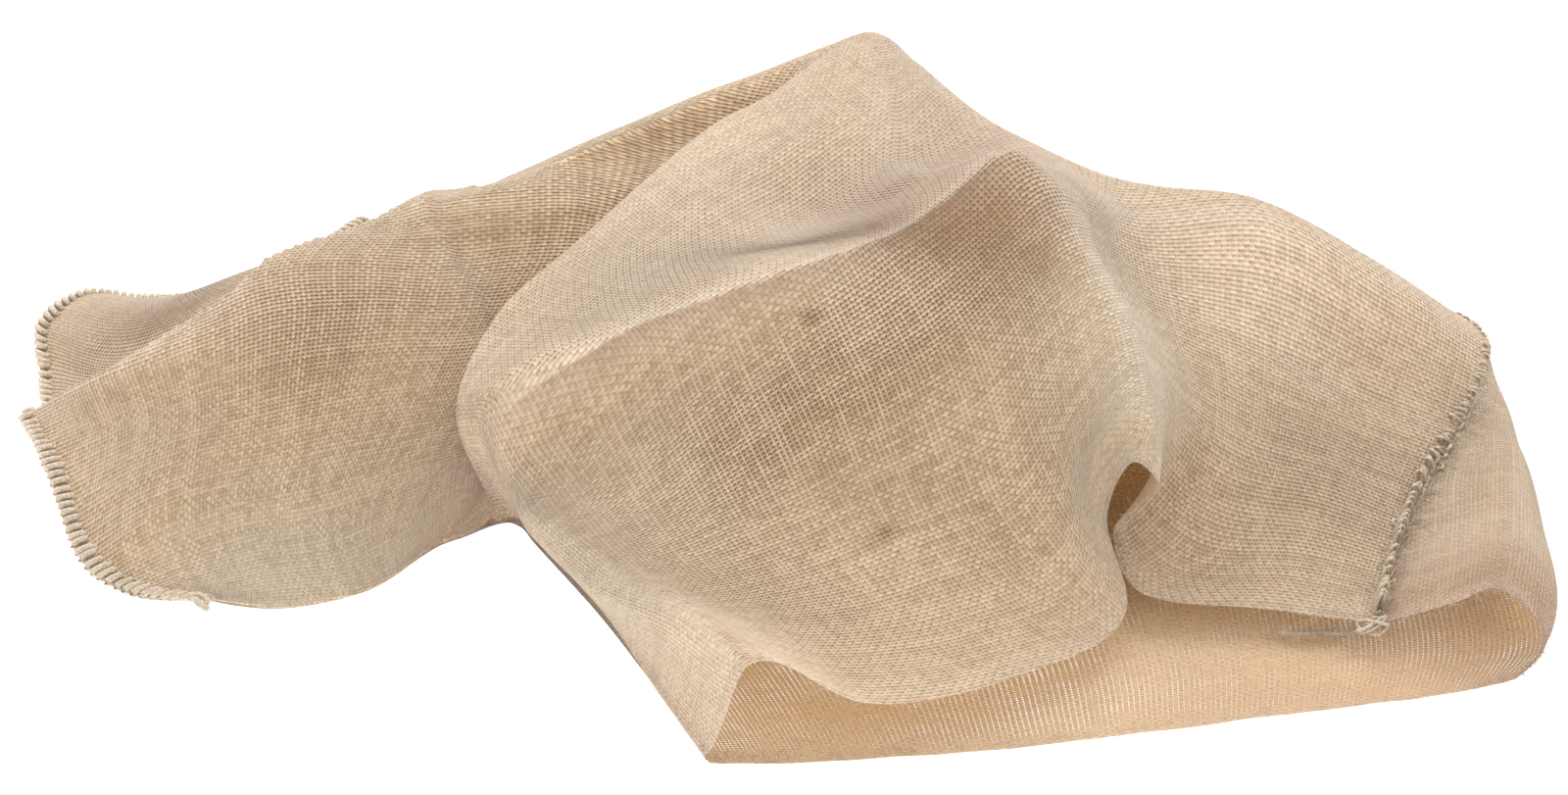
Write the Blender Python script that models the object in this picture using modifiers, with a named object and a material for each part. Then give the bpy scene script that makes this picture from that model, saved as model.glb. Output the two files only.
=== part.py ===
"""An empty jute sack lying crumpled on a flat surface, its mouth open towards the front.

Sizes are in millimetres until MM turns them into metres. X runs to the right, Y away from
the open mouth and Z up; the surface that the sack lies on is Z = 0. The cloth is one tube,
closed at the left end. It is described as rings round the tube, from the closed bottom to
the mouth: over the top from the side seam to the folded side, then back underneath.
"""

import bpy
from mathutils import Vector

MM = 0.001
CLOTH = 2.0            # thickness of the sack cloth
HALF = CLOTH / 2
STEPS = 3              # faces between two neighbouring columns, and between two rings
BOTTOM_GAP = 3.4       # between the two layers where the bottom seam closes them
YARN = 2.2             # radius of the overcast yarn
YARN_WAIST = 1.5       # its radius between two wraps
YARN_CLEAR = 1.4       # between the yarn and the cloth
SIDE_LIFT = 1.4        # and more than that on the side seam, which turns more
FLOOR_CLEAR = 0.3      # between the yarn and the surface that the sack lies on
BOTTOM_PITCH = 8.0     # from wrap to wrap along the bottom seam
SIDE_PITCH = 11.0      # from wrap to wrap along the side seam
MIDDLE = (-4.6, 25.4)  # middle of the tables' footprint, which is moved to the origin

# The upper layer: where each ring passes over each column, as (x, y, z). The rings go from the
# stitched bottom to the mouth.
# Columns: seam, back, brow, dip, curl, finger, gap, corner, mid, low, lip, fold.
UPPER = {
    "bottom": [(-245, 262, 6), (-280, 215, 8), (-318, 172, 12), (-350, 134, 24), (-373, 110, 38), (-387, 82, 42),
               (-389, 50, 30), (-384, -5, 40), (-375, -43, 38), (-353, -90, 18), (-325, -106, 7), (-289, -116, 6)],
    "lobe": [(-175, 275, 6), (-225, 186, 22), (-275, 115, 52), (-309, 70, 68), (-329, 50, 68), (-341, 33, 62),
             (-343, 12, 65), (-335, -25, 80), (-315, -45, 68), (-295, -70, 46), (-275, -90, 18), (-250, -120, 6)],
    "hump": [(-120, 285, 6), (-160, 228, 24), (-195, 180, 56), (-220, 125, 84), (-236, 82, 104), (-250, 52, 115),
             (-265, 5, 119), (-255, -25, 112), (-245, -50, 92), (-235, -60, 60), (-225, -85, 24), (-210, -105, 6)],
    "crease": [(-75, 290, 6), (-120, 217, 45), (-155, 150, 90), (-170, 96, 116), (-185, 52, 136), (-180, 36, 129),
               (-175, 26, 121), (-170, 12, 113), (-160, -5, 99), (-155, -35, 72), (-165, -55, 34), (-175, -70, 6)],
    "back": [(0, 285, 6), (-40, 225, 64), (-70, 160, 120), (-110, 80, 150), (-105, 70, 144), (-100, 55, 136),
             (-100, 45, 128), (-100, 30, 116), (-110, 10, 100), (-125, -15, 75), (-147, -38, 38), (-163, -62, 6)],
    "tuck": [(40, 280, 6), (20, 240, 70), (12, 205, 133), (12, 177, 156), (5, 147, 146), (-2, 116, 138),
             (-15, 86, 127), (-42, 52, 115), (-80, 6, 103), (-106, -25, 80), (-143, -46, 52), (-152, -63, 6)],
    "crest": [(80, 270, 6), (62, 235, 70), (56, 204, 136), (46, 175, 172), (15, 148, 165), (-10, 120, 160),
              (-35, 100, 156), (-70, 60, 146), (-105, 15, 134), (-145, -20, 112), (-164, -57, 76), (-145, -61, 6)],
    "deck": [(135, 250, 6), (110, 200, 76), (82, 165, 140), (66, 144, 172), (40, 108, 173), (10, 70, 172),
             (-15, 40, 168), (-50, 10, 160), (-86, -12, 143), (-128, -36, 119), (-162, -63, 82), (-141, -60, 6)],
    "dent": [(190, 215, 6), (165, 150, 60), (140, 92, 107), (100, 88, 164), (75, 50, 172), (44, 28, 165),
             (18, 8, 155), (-15, -28, 158), (-54, -36, 150), (-106, -49, 125), (-157, -67, 85), (-138, -60, 6)],
    "ridge": [(370, 79, 45), (310, 74, 88), (248, 86, 118), (172, 45, 144), (140, 20, 176), (115, 5, 186),
              (80, -15, 172), (40, -22, 154), (-15, -55, 152), (-75, -62, 128), (-148, -72, 87), (-134, -62, 6)],
    "slope": [(345, -10, 36), (290, -20, 66), (240, -20, 94), (185, -10, 118), (160, -20, 140), (145, -50, 162),
              (125, -50, 140), (80, -85, 138), (15, -95, 122), (-60, -90, 94), (-135, -80, 50), (-130, -66, 6)],
    "low": [(315, -65, 28), (275, -65, 48), (230, -70, 66), (202, -64, 80), (186, -74, 106), (170, -90, 124),
            (150, -100, 100), (115, -130, 78), (45, -140, 68), (-30, -155, 60), (-94, -145, 36), (-91, -127, 6)],
    "hem": [(295, -120, 20), (255, -115, 30), (208, -115, 38), (180, -98, 54), (185, -110, 88), (175, -112, 106),
            (149, -120, 80), (145, -152, 46), (80, -190, 42), (10, -202, 44), (-43, -201, 50), (-59, -194, 6)],
    "mouth": [(285, -155, 16), (240, -147, 20), (195, -144, 26), (170, -120, 44), (182, -132, 82), (170, -124, 91),
              (158, -127, 62), (167, -157, 26), (112, -219, 30), (39, -245, 34), (-10, -245, 58), (-35, -246, 6)],
}
# The right side of the under layer, which rises to the seam: only these rings need it.
# Columns: foot, side, wall, rim.
SIDE = {
    "ridge": [(371, 60, 1), (374, 60, 10), (374, 64, 24), (373, 72, 36)],
    "slope": [(382, -8, 1), (384, -12, 15), (377, -6, 32), (360, -8, 38)],
    "low": [(381, -82, 1), (384, -74, 18), (369, -60, 38), (341, -64, 35)],
    "hem": [(373, -150, 1), (380, -128, 23), (355, -124, 43), (321, -128, 30)],
    "mouth": [(355, -180, 1), (370, -170, 18), (345, -160, 42), (315, -165, 26)],
}
# How far along from the folded side to the foot of the right side the floor columns lie.
FLOOR_SHARES = (0.12, 0.35, 0.6, 0.82)
FRONT_BOWS = (9, 18, 14, 6)   # how far the mouth's front edge bows out at those shares
UNDER_STEPS = (3, 3, 3, 3, 3, 6, 6, 6)    # faces between two neighbouring columns underneath

# The hidden layer of the big fold climbs from its inner bend to the crest over one more ring.
LINING_SHARE = 0.4
LINING_RISE = 0.06

# The yarn's free ends, from where they leave the seam, as (x, y, z).
END_FRONT = [(-284, -123, 5), (-279, -131, 3), (-284, -139, 2), (-290, -135, 2)]
END_BACK = [(-243, 272, 6), (-247, 281, 5), (-256, 287, 3), (-262, 283, 2)]
END_MOUTH = [(292, -168, 22), (284, -175, 17), (268, -172, 12), (250, -168, 8), (236, -170, 5)]


def curve_through(points, steps):
    """Points on a smooth curve through the given ones: steps says how many lie between two of them."""
    points = [Vector(p) for p in points]
    counts = steps if isinstance(steps, tuple) else (steps,) * (len(points) - 1)
    ends = [2 * points[0] - points[1]] + points + [2 * points[-1] - points[-2]]
    line = []
    for i, count in enumerate(counts):
        a, b, c, d = ends[i:i + 4]
        t1 = (b - a).length ** 0.5
        t2 = t1 + (c - b).length ** 0.5
        t3 = t2 + (d - c).length ** 0.5
        for step in range(count):
            t = t1 + (t2 - t1) * step / count
            ab = a.lerp(b, t / t1)
            bc = b.lerp(c, (t - t1) / (t2 - t1))
            cd = c.lerp(d, (t - t2) / (t3 - t2))
            line.append(ab.lerp(bc, t / t2).lerp(bc.lerp(cd, (t - t1) / (t3 - t1)), (t - t1) / (t2 - t1)))
    return line + [points[-1]]


def spread(points, count):
    """The same curve as so many equal lengths."""
    line = curve_through(points, 8)
    reach = [0.0]
    for a, b in zip(line, line[1:]):
        reach.append(reach[-1] + (b - a).length)
    out = []
    k = 0
    for i in range(count + 1):
        goal = reach[-1] * i / count
        while k < len(line) - 2 and reach[k + 1] < goal:
            k += 1
        out.append(line[k].lerp(line[k + 1], (goal - reach[k]) / (reach[k + 1] - reach[k])))
    return out


def under_layer(name, seam, fold, count):
    """The under layer of one ring, from the folded side back to the seam."""
    floor_fold = Vector((fold.x, fold.y, HALF))
    if name not in SIDE:
        return spread([floor_fold, Vector((seam.x, seam.y, HALF))], count)
    side = [Vector(p) for p in SIDE[name]]
    floor = [floor_fold.lerp(side[0], share) for share in FLOOR_SHARES]
    if name == "mouth":
        for point, bow in zip(floor, FRONT_BOWS):
            point.y -= bow
    return curve_through([floor_fold] + floor + side, UNDER_STEPS)


def ring(name):
    """One whole ring as two lists: over the top, and the return underneath."""
    upper = [Vector(p) for p in UPPER[name]]
    over = curve_through(upper, STEPS)
    if name == "bottom":
        drop = Vector((0, 0, BOTTOM_GAP))
        under = [point - drop for point in reversed(over)]
    else:
        under = under_layer(name, upper[0], upper[-1], len(over) - 1)
    return over, under


def with_lining(rows):
    """The rows with the big fold's hidden layer held clear of the cloth that it lies on."""
    tuck = list(UPPER).index("tuck")
    lining = []
    for inner, crest in zip(rows[tuck], rows[tuck + 1]):
        point = inner.lerp(crest, LINING_SHARE)
        point.z += LINING_RISE * point.z
        lining.append(point)
    return rows[:tuck + 1] + [lining] + rows[tuck + 1:]


def smooth_rows(rows):
    """More rings between the given ones, smoothly along every column; none dips under the floor."""
    columns = [curve_through(column, STEPS) for column in zip(*rows)]
    for column in columns:
        for point in column:
            point.z = max(point.z, HALF)
    return [list(row) for row in zip(*columns)]


def collection(name, parent):
    made = bpy.data.collections.new(name)
    parent.children.link(made)
    return made


def material(name, colour, roughness):
    made = bpy.data.materials.new(name)
    made.use_nodes = True
    shader = made.node_tree.nodes["Principled BSDF"]
    shader.inputs["Base Color"].default_value = (*colour, 1)
    shader.inputs["Roughness"].default_value = roughness
    return made


def placed(obj, home):
    """Links the object into its collection, over the middle of its footprint."""
    home.objects.link(obj)
    obj.location = (-MIDDLE[0] * MM, -MIDDLE[1] * MM, 0)
    return obj


def sack_cloth(rows_over, rows_under, home):
    """The tube of cloth: one open surface of quads given its thickness by Solidify."""
    width = len(rows_over[0])
    points = []
    faces = []
    for over, under in zip(rows_over, rows_under):
        points += [tuple(p * MM) for p in over + under]
    around = 2 * width
    for r in range(len(rows_over) - 1):
        for c in range(around):
            d = (c + 1) % around
            faces.append((r * around + c, r * around + d, (r + 1) * around + d, (r + 1) * around + c))
    for c in range(width - 1):
        faces.append((c, around - 1 - c, around - 2 - c, c + 1))
    mesh = bpy.data.meshes.new("sack_cloth")
    mesh.from_pydata(points, [], faces)
    mesh.materials.append(material("jute_cloth", (0.55, 0.40, 0.24), 0.95))
    cloth = placed(bpy.data.objects.new("sack_cloth", mesh), home)
    thick = cloth.modifiers.new("thickness", "SOLIDIFY")
    thick.thickness = CLOTH * MM
    thick.offset = 0
    return cloth


def length_of(path):
    return sum((b - a).length for a, b in zip(path, path[1:]))


def raised(point):
    """The point, or the one over it where yarn would lie just clear of the floor."""
    return Vector((point.x, point.y, max(point.z, YARN + FLOOR_CLEAR)))


def yarn(name, path, pitch, home):
    """Overcast yarn as a bevelled curve that swells at every wrap; past the seam it is a bare end."""
    data = bpy.data.curves.new(name, "CURVE")
    data.dimensions = "3D"
    data.bevel_depth = YARN * MM
    data.bevel_resolution = 1
    data.use_fill_caps = True
    spline = data.splines.new("POLY")
    path = [raised(point) for point in path]
    points = spread(path, round(2 * length_of(path) / pitch))
    spline.points.add(len(points) - 1)
    for i, point in enumerate(points):
        spline.points[i].co = (*(point * MM), 1)
        spline.points[i].radius = 1.0 if i % 2 else YARN_WAIST / YARN
    data.materials.append(material(name, (0.42, 0.36, 0.27), 0.95))
    return placed(bpy.data.objects.new(name, data), home)


def clear_scene():
    for obj in list(bpy.data.objects):
        bpy.data.objects.remove(obj, do_unlink=True)


def main():
    clear_scene()
    home = collection("jute_sack", bpy.context.scene.collection)
    rings = [ring(name) for name in UPPER]
    rows_over = smooth_rows(with_lining([over for over, under in rings]))
    rows_under = smooth_rows(with_lining([under for over, under in rings]))
    sack_cloth(rows_over, rows_under, home)

    reach = HALF + YARN + YARN_CLEAR
    bottom = []
    for before, here, after in zip(rows_over[0], rows_over[0][1:], rows_over[0][2:]):
        along = after - before
        outward = Vector((along.y, -along.x, 0)).normalized()
        bottom.append(raised(here + outward * reach - Vector((0, 0, BOTTOM_GAP / 2))))
    path = [Vector(p) for p in reversed(END_BACK)] + bottom[::2] + [Vector(p) for p in END_FRONT]
    yarn("bottom_overcast", path, BOTTOM_PITCH, home)

    seam = [(over[0], under[-1]) for over, under in zip(rows_over, rows_under)]
    side = []
    for before, (top, low), after in zip(seam[1:], seam[2:], seam[3:]):
        outward = (after[0] - before[0]).cross(low - top).normalized()
        side.append(raised(top.lerp(low, 0.5) + outward * (reach + SIDE_LIFT)))
    yarn("side_overcast", side[::2] + [Vector(p) for p in END_MOUTH], SIDE_PITCH, home)


main()
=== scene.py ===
# %% [markdown]
# # An empty jute sack, lying crumpled on a white surface
# The sack is one piece of coarse open cloth, folded once and sewn along its bottom and one side.
# It lies on its side with its mouth open to the front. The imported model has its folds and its
# size as plain solids; this file gives the cloth its threads, its yarn seams and its hair.

# %% Load the frame
import math
import bpy
import numpy as np
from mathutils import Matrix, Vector, noise


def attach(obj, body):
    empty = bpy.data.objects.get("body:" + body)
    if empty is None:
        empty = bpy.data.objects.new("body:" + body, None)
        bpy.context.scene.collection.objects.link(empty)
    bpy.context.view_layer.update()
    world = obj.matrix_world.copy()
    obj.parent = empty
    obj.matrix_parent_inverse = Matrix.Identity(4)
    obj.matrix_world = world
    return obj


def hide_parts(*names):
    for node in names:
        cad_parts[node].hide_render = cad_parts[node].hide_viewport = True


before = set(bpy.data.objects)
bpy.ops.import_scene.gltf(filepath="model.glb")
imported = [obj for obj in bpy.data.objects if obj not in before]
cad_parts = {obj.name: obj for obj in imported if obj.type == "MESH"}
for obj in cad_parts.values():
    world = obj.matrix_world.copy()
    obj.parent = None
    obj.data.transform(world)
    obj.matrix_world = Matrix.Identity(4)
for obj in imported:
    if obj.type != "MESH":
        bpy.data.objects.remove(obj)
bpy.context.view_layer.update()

MM = 0.001


def add_object(name, data):
    """A new object in the scene."""
    made = bpy.data.objects.new(name, data)
    bpy.context.scene.collection.objects.link(made)
    return made


# %% [markdown]
# ## Camera
# The picture looks down on the sack at about 32 degrees from a little over two metres away, so
# that the far folds are hardly smaller than the near ones. A long lens gives that flat look.

# %% Camera
MIDDLE = Vector((-4.6, 25.4, 0))  # what the tables below have at the model's origin
LOOK_DOWN = math.radians(32)
DISTANCE = 2200
LENS = 98.01
target = Vector((0, 0, 50)) - MIDDLE
ahead = Vector((0, math.cos(LOOK_DOWN), -math.sin(LOOK_DOWN)))
camera_data = bpy.data.cameras.new("camera")
camera_data.lens = LENS
camera_data.sensor_width = 36
camera_data.clip_end = 20
camera = add_object("camera", camera_data)
camera.location = (target - DISTANCE * ahead) * MM
camera.rotation_euler = (math.radians(90) - LOOK_DOWN, 0, 0)
bpy.context.scene.camera = camera
print("camera at", [round(c, 3) for c in camera.location])

# %% [markdown]
# ## Shader maths
# A weave is arithmetic: which thread is this, how far from its middle, is it over or under?
# Written as nodes that is a wall of boxes, so one small class lets a socket be added and
# multiplied like a number, and each operation puts in its own Math node. A second class makes
# one material and adds the other kinds of node to it.

# %% Sockets that can be used in expressions
class Wire:
    """An output socket that Python arithmetic turns into Math nodes."""

    def __init__(self, nodes, socket):
        self.nodes = nodes
        self.socket = socket

    def math(self, operation, *values):
        return self.nodes.add("ShaderNodeMath", {"operation": operation}, dict(enumerate(values)))

    def __add__(self, other):
        return self.math("ADD", self, other)

    def __sub__(self, other):
        return self.math("SUBTRACT", self, other)

    def __rsub__(self, other):
        return self.math("SUBTRACT", other, self)

    def __mul__(self, other):
        return self.math("MULTIPLY", self, other)

    def __truediv__(self, other):
        return self.math("DIVIDE", self, other)

    def __lt__(self, other):
        return self.math("LESS_THAN", self, other)

    def __gt__(self, other):
        return self.math("GREATER_THAN", self, other)

    def floor(self):
        return self.math("FLOOR", self)

    def fraction(self):
        return self.math("FRACT", self)

    def size(self):
        return self.math("ABSOLUTE", self)

    def cosine(self):
        return self.math("COSINE", self)

    def higher(self, other):
        return self.math("MAXIMUM", self, other)

    def toward(self, other, share):
        """This value, moved by a share of the way to another."""
        return self + (other - self) * share

    __radd__ = __add__
    __rmul__ = __mul__


# %% A material's nodes
class Nodes:
    """The nodes of one new material."""

    def __init__(self, name):
        self.material = bpy.data.materials.new(name)
        self.material.use_nodes = True
        self.tree = self.material.node_tree
        self.shader = self.tree.nodes["Principled BSDF"]

    def add(self, kind, settings, values, output=0):
        """Adds a node, settings first and sockets after, and returns one of its outputs."""
        made = self.tree.nodes.new(kind)
        for name, value in settings.items():
            setattr(made, name, value)
        self.feed(made, values)
        return Wire(self, made.outputs[output])

    def feed(self, made, values):
        """Sets or links a node's sockets."""
        for key, value in values.items():
            if isinstance(value, Wire):
                self.tree.links.new(value.socket, made.inputs[key])
            else:
                made.inputs[key].default_value = value

    def noise(self, x, y, scale, detail):
        """Soft noise from 0 to 1 over two lengths in millimetres; scale is per millimetre."""
        place = self.add("ShaderNodeCombineXYZ", {}, {"X": x, "Y": y})
        return self.add("ShaderNodeTexNoise", {"noise_dimensions": "2D"},
                        {"Vector": place, "Scale": scale, "Detail": detail, "Roughness": 0.6})

    def chance(self, index):
        """A random number from 0 to 1 for each thread."""
        return self.add("ShaderNodeTexWhiteNoise", {"noise_dimensions": "1D"}, {"W": index})

    def ramp(self, value, low, high):
        """0 below low, 1 above high, and smooth between."""
        return self.add("ShaderNodeMapRange", {"interpolation_type": "SMOOTHSTEP"},
                        {"Value": value, "From Min": low, "From Max": high})

    def blend(self, factor, first, second):
        """A colour between two, each a link or (r, g, b)."""
        first, second = (c if isinstance(c, Wire) else (*c, 1) for c in (first, second))
        return self.add("ShaderNodeMix", {"data_type": "RGBA"}, {0: factor, 6: first, 7: second}, output=2)


# %% [markdown]
# ## The folds
# The sack is a tube, closed at its left end. Its folds are described by rings round the tube,
# from the stitched bottom to the mouth, and each ring goes over the top from the side seam to
# the folded side, then back underneath. A cloth simulation would find folds of its own, but
# these have to be the ones in the photograph, so each is listed in a table.

# %% The table of folds, in millimetres
# The upper layer: where each ring passes over each column, as (x, y, z). The rings go from the
# stitched bottom to the mouth. Columns: seam, back, brow, dip, curl, finger, gap, corner, mid,
# low, lip, fold.
UPPER = {
    "bottom": [(-245, 262, 6), (-280, 215, 8), (-318, 172, 12), (-349, 134, 32),
               (-380, 112, 50), (-400, 86, 48), (-399, 52, 36), (-389, -6, 40),
               (-375, -43, 38), (-350, -97, 14), (-325, -112, 7), (-289, -116, 6)],
    "lobe": [(-175, 275, 6), (-225, 186, 22), (-275, 115, 52), (-309, 72, 74),
             (-330, 52, 74), (-341, 33, 62), (-343, 12, 65), (-335, -25, 80),
             (-315, -45, 68), (-295, -70, 46), (-275, -90, 18), (-250, -120, 6)],
    "hump": [(-120, 285, 6), (-160, 228, 24), (-195, 180, 56), (-220, 125, 84),
             (-236, 80, 101), (-250, 50, 110), (-265, 5, 119), (-255, -25, 112),
             (-245, -50, 92), (-235, -60, 60), (-225, -85, 24), (-210, -105, 6)],
    "crease": [(-75, 290, 6), (-120, 217, 45), (-155, 150, 90), (-170, 96, 116),
               (-185, 52, 136), (-180, 36, 129), (-175, 26, 121), (-170, 12, 113),
               (-160, -5, 99), (-155, -35, 72), (-165, -55, 34), (-175, -64, 6)],
    "back": [(0, 285, 6), (-40, 225, 64), (-70, 160, 120), (-110, 80, 150),
             (-105, 70, 144), (-100, 55, 136), (-100, 45, 128), (-100, 30, 116),
             (-110, 10, 100), (-125, -15, 75), (-147, -38, 38), (-163, -56, 6)],
    "tuck": [(40, 280, 6), (20, 240, 70), (12, 205, 133), (12, 177, 156),
             (5, 147, 146), (-2, 116, 138), (-15, 86, 127), (-42, 52, 115),
             (-80, 6, 103), (-106, -25, 80), (-143, -46, 52), (-150, -46, 6)],
    "crest": [(80, 270, 6), (62, 235, 70), (56, 204, 136), (46, 175, 172),
              (15, 148, 165), (-10, 120, 160), (-35, 100, 156), (-70, 60, 146),
              (-105, 15, 134), (-145, -20, 112), (-164, -57, 76), (-146, -44, 6)],
    "deck": [(135, 250, 6), (110, 200, 76), (82, 165, 140), (66, 144, 174),
             (40, 108, 173), (10, 70, 172), (-15, 40, 168), (-50, 10, 160),
             (-86, -12, 143), (-128, -36, 119), (-162, -63, 82), (-143, -43, 6)],
    "dent": [(190, 215, 6), (165, 150, 60), (140, 92, 107), (100, 88, 169),
             (75, 50, 172), (44, 28, 165), (18, 8, 155), (-15, -28, 158),
             (-54, -36, 150), (-106, -49, 125), (-157, -67, 85), (-140, -43, 6)],
    "ridge": [(370, 79, 45), (310, 74, 88), (248, 86, 118), (172, 43, 141),
              (140, 19, 171), (115, 5, 186), (80, -15, 172), (40, -22, 154),
              (-15, -55, 152), (-75, -62, 128), (-148, -72, 87), (-134, -48, 6)],
    "slope": [(345, -10, 36), (290, -20, 66), (240, -20, 94), (185, -10, 118),
              (160, -20, 140), (145, -50, 162), (126, -54, 151), (80, -85, 138),
              (15, -95, 122), (-60, -90, 94), (-135, -80, 50), (-128, -60, 6)],
    "low": [(315, -65, 28), (275, -65, 48), (230, -70, 66), (202, -64, 80),
            (186, -74, 106), (170, -90, 124), (148, -102, 109), (115, -130, 78),
            (45, -140, 68), (-30, -155, 60), (-94, -145, 36), (-91, -127, 6)],
    "hem": [(295, -120, 20), (255, -115, 30), (208, -115, 38), (180, -98, 54),
            (185, -110, 88), (175, -112, 106), (149, -120, 80), (145, -152, 46),
            (80, -190, 42), (10, -202, 44), (-43, -201, 50), (-59, -194, 6)],
    "mouth": [(285, -155, 16), (240, -147, 20), (173, -141, 27), (163, -118, 45),
              (182, -132, 82), (170, -124, 91), (158, -127, 62), (167, -157, 26),
              (112, -219, 30), (39, -245, 34), (-10, -245, 58), (-35, -246, 6)],
}
# The right side of the under layer, which rises to the seam.
# Columns: foot, side, wall, rim.
SIDE = {
    "ridge": [(366, 60, 1), (369, 60, 10), (369, 64, 24), (370, 72, 36)],
    "slope": [(382, -8, 1), (384, -12, 15), (377, -7, 31), (360, -8, 38)],
    "low": [(381, -82, 1), (384, -74, 18), (369, -60, 38), (341, -64, 35)],
    "hem": [(373, -150, 1), (380, -128, 23), (355, -124, 43), (321, -128, 30)],
    "mouth": [(355, -180, 1), (370, -170, 18), (345, -160, 42), (315, -165, 26)],
}

# %% Smooth curves through the table
FINE = 12  # faces between two neighbouring columns
FINE_ROWS = 24  # faces between two rings
LYING = 1.0  # height of the cloth's middle where it lies on the surface
BOTTOM_GAP = 3.4  # from the upper layer to the under one at the stitched bottom
FLOOR_SHARES = (0.12, 0.35, 0.6, 0.82)  # points of the under layer from the folded side to the foot
FRONT_BOWS = (9, 15, 12, 9)  # how far the mouth's under edge bows out at those points
UNDER_STEPS = tuple(FINE // 3 * n for n in (3, 3, 3, 3, 3, 6, 6, 6))
LINING_SHARE = 0.4  # where the big fold's hidden layer lies, from the tuck to the crest
LINING_RISE = 0.005  # how much higher that layer is held, as a share of its height


def curve_through(points, steps):
    """Points on a smooth curve through the given ones, with so many steps between two of them."""
    points = [Vector(p) for p in points]
    counts = steps if isinstance(steps, tuple) else (steps,) * (len(points) - 1)
    ends = [2 * points[0] - points[1]] + points + [2 * points[-1] - points[-2]]
    line = []
    for i, count in enumerate(counts):
        a, b, c, d = ends[i:i + 4]
        t1 = (b - a).length ** 0.5
        t2 = t1 + (c - b).length ** 0.5
        t3 = t2 + (d - c).length ** 0.5
        for step in range(count):
            t = t1 + (t2 - t1) * step / count
            ab = a.lerp(b, t / t1)
            bc = b.lerp(c, (t - t1) / (t2 - t1))
            cd = c.lerp(d, (t - t2) / (t3 - t2))
            ac, bd = ab.lerp(bc, t / t2), bc.lerp(cd, (t - t1) / (t3 - t1))
            line.append(ac.lerp(bd, (t - t1) / (t2 - t1)))
    return line + [points[-1]]


def reach_of(line):
    """How far along a line each of its points is."""
    return np.concatenate([[0], np.cumsum(np.linalg.norm(np.diff(line, axis=0), axis=1))])


def values_at(values, reach, goals):
    """Three values for each point of a line, at other distances along it."""
    return np.stack([np.interp(goals, reach, values[:, k]) for k in range(3)], 1)


print("the table has", len(UPPER), "rings")


# %% From rings to the whole tube
def spread(points, count):
    """The same curve as so many equal lengths."""
    line = np.array(curve_through(points, 8))
    reach = reach_of(line)
    return [Vector(point) for point in values_at(line, reach, np.linspace(0, reach[-1], count + 1))]


def under_layer(name, seam, fold, count):
    """The under layer of one ring, from the folded side back to the seam."""
    floor_fold = Vector((fold.x, fold.y, LYING))
    if name not in SIDE:
        return spread([floor_fold, Vector((seam.x, seam.y, LYING))], count)
    side = [Vector(p) for p in SIDE[name]]
    floor_line = [floor_fold.lerp(side[0], share) for share in FLOOR_SHARES]
    if name == "mouth":
        for point, bow in zip(floor_line, FRONT_BOWS):
            point.y -= bow
    return curve_through([floor_fold] + floor_line + side, UNDER_STEPS)


def ring(name):
    """One ring as two lists of points: over the top, and underneath."""
    upper = [Vector(p) for p in UPPER[name]]
    over = curve_through(upper, FINE)
    if name == "bottom":
        drop = Vector((0, 0, BOTTOM_GAP))
        return over, [point - drop for point in reversed(over)]
    return over, under_layer(name, upper[0], upper[-1], len(over) - 1)


def with_lining(rows):
    """The rows with the big fold's hidden layer held clear of the cloth that it lies on."""
    tuck = list(UPPER).index("tuck")
    lining = []
    for inner, crest in zip(rows[tuck], rows[tuck + 1]):
        point = inner.lerp(crest, LINING_SHARE)
        point.z += LINING_RISE * point.z
        lining.append(point)
    return rows[:tuck + 1] + [lining] + rows[tuck + 1:]


def smooth_rows(rows):
    """Every column made smooth along the sack, as an array of rows, columns and x, y, z."""
    columns = [curve_through(column, FINE_ROWS) for column in zip(*rows)]
    grid = np.array([[tuple(point - MIDDLE) for point in column] for column in columns])
    grid[..., 2] = np.maximum(grid[..., 2], LYING)
    return grid.transpose(1, 0, 2)


rings = [ring(name) for name in UPPER]
over = smooth_rows(with_lining([a for a, b in rings]))
under = smooth_rows(with_lining([b for a, b in rings]))
ROWS, HALF_COLUMNS = over.shape[:2]
print("the upper layer has", over.shape[:2], "points, and so has the under layer")

# %% [markdown]
# ## Closing the tube
# At the folded side the cloth turns under in one soft bend. At the side seam and the bottom the
# two edges are sewn together, so they are drawn nearly together here, and the yarn covers them.

# %% Close the tube
STITCHED_GAP = 0.8  # between the middles of two layers that are sewn together, in mm
SEAM_AT, SEAM_REACH = 0.1, 14  # where the side seam is between the layers, and columns drawn to it
BOTTOM_AT, BOTTOM_REACH = 0.5, 10  # the same for the bottom, in rows
BEND_BULGE = 2.2  # how far the cloth bulges at the folded side, in mm
BEND_SHARES = (0.3, 0.7)  # where its two columns of points are between the layers


def pull_together(first, second, share, reach, gap):
    """Moves the edges of two layers, each listed from its edge inwards, to a gap of each other."""
    middle = first[0] + (second[0] - first[0]) * share
    apart = first[0] - second[0]
    length = np.maximum(np.linalg.norm(apart, axis=-1, keepdims=True), 1e-6)
    half = apart / length * np.minimum(length, gap) / 2
    shift_first = middle + half - first[0]
    shift_second = middle - half - second[0]
    for k in range(reach):
        ease = (1 - k / reach) ** 2
        first[k] += ease * shift_first
        second[k] += ease * shift_second


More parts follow.
